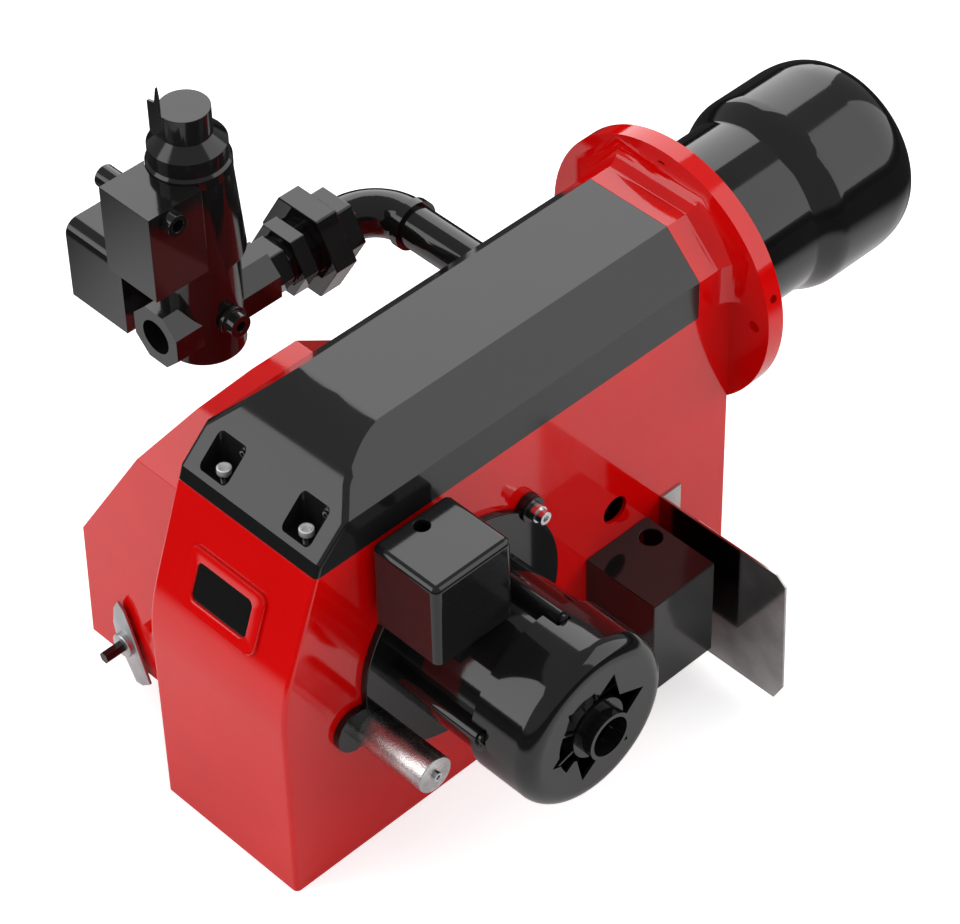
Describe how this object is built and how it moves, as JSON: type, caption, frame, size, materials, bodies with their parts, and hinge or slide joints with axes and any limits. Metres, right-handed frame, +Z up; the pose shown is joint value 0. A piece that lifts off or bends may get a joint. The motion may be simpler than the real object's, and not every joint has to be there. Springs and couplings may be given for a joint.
{
  "type": "industrial gas burner",
  "caption": "Monobloc industrial gas burner: fan housing with side motor, air intake box, gas valve train, mounting flange and blast tube.",
  "frame": {"origin": "centre of the mounting flange's boiler-side face, on the flame axis", "axes": "+Y along the flame, out of the blast tube; +X towards the motor side; +Z up"},
  "size_m": [0.6581, 0.8015, 0.596],
  "materials": {
    "red_paint": "gloss",
    "black_paint": "gloss",
    "black_plastic": "gloss",
    "matte_black": "matte",
    "bright_steel": "satin",
    "zinc_steel": "satin",
    "cast_aluminium": "satin",
    "cast_grey": "matte",
    "ceramic": "satin",
    "window_glass": "gloss"
  },
  "bodies": {
    "burner": {"burner_housing": "red_paint", "window_frame": "red_paint", "window_pane": "window_glass", "mounting_flange": "red_paint", "flange_set_screw": "bright_steel", "blast_tube": "black_paint", "gas_manifold": "cast_aluminium", "gas_head_tube": "zinc_steel", "gas_nozzle": "bright_steel", "flame_disc": "bright_steel", "head_support": "zinc_steel", "electrode_clamp": "zinc_steel", "electrode_insulators": "ceramic", "electrode_wires": "bright_steel", "component_plate": "zinc_steel", "control_unit": "matte_black", "ignition_transformer": "matte_black", "air_pressure_switch": "matte_black", "fan_volute": "zinc_steel", "fan_inlet_ring": "zinc_steel", "motor_flange": "black_paint", "motor_bearings": "bright_steel", "motor_stator": "black_paint", "stator_core": "cast_grey", "rear_shield": "black_paint", "motor_end_cap": "black_paint", "motor_tie_bolts": "bright_steel", "mount_washer": "bright_steel", "mount_spacer": "bright_steel", "mount_screw": "bright_steel", "run_capacitor": "cast_aluminium", "capacitor_stud": "bright_steel", "terminal_box": "black_plastic", "side_connection_box": "black_plastic", "angle_bracket": "zinc_steel", "air_intake_box": "red_paint", "gas_pipe": "black_paint", "pipe_elbow": "black_paint", "union_end": "black_paint", "union_nut": "black_paint", "union_tail": "black_paint", "valve_adapter": "black_paint", "valve_body": "black_paint", "coil_housing": "black_paint", "coil_cap": "black_paint", "connector_block": "black_plastic", "cable_glands": "black_plastic", "gas_pressure_switch": "black_plastic", "test_nipple": "bright_steel"},
    "rotor": {"motor_shaft": "bright_steel", "rotor_core": "cast_grey", "cooling_fan": "matte_black", "fan_impeller": "zinc_steel"},
    "damper": {"damper_shaft": "matte_black", "damper_blade": "zinc_steel", "damper_lever": "bright_steel"},
    "cover": {"top_cover": "black_paint", "cover_screws": "bright_steel"},
    "adjuster": {"flow_adjuster_cap": "black_plastic"},
    "plunger": {"valve_plunger": "bright_steel"}
  },
  "joints": [
    {"name": "rotor_spin", "type": "hinge", "parent": "burner", "child": "rotor", "pos_m": [0, -0.361, -0.1511], "axis": [1, 0, 0], "continuous": true},
    {"name": "damper_turn", "type": "hinge", "parent": "burner", "child": "damper", "pos_m": [-0.1965, -0.3615, -0.2705], "axis": [0, 1, 0], "range_deg": [-64, 26]},
    {"name": "cover_lift", "type": "slide", "parent": "burner", "child": "cover", "axis": [0, 0, 1], "range_m": [0, 0.15]},
    {"name": "adjuster_turn", "type": "hinge", "parent": "burner", "child": "adjuster", "pos_m": [-0.2581, -0.3432, 0.2], "axis": [0, 0, 1], "range_deg": [0, 270]},
    {"name": "plunger_lift", "type": "slide", "parent": "burner", "child": "plunger", "axis": [0, 0, 1], "range_m": [0, 0.008]}
  ]
}
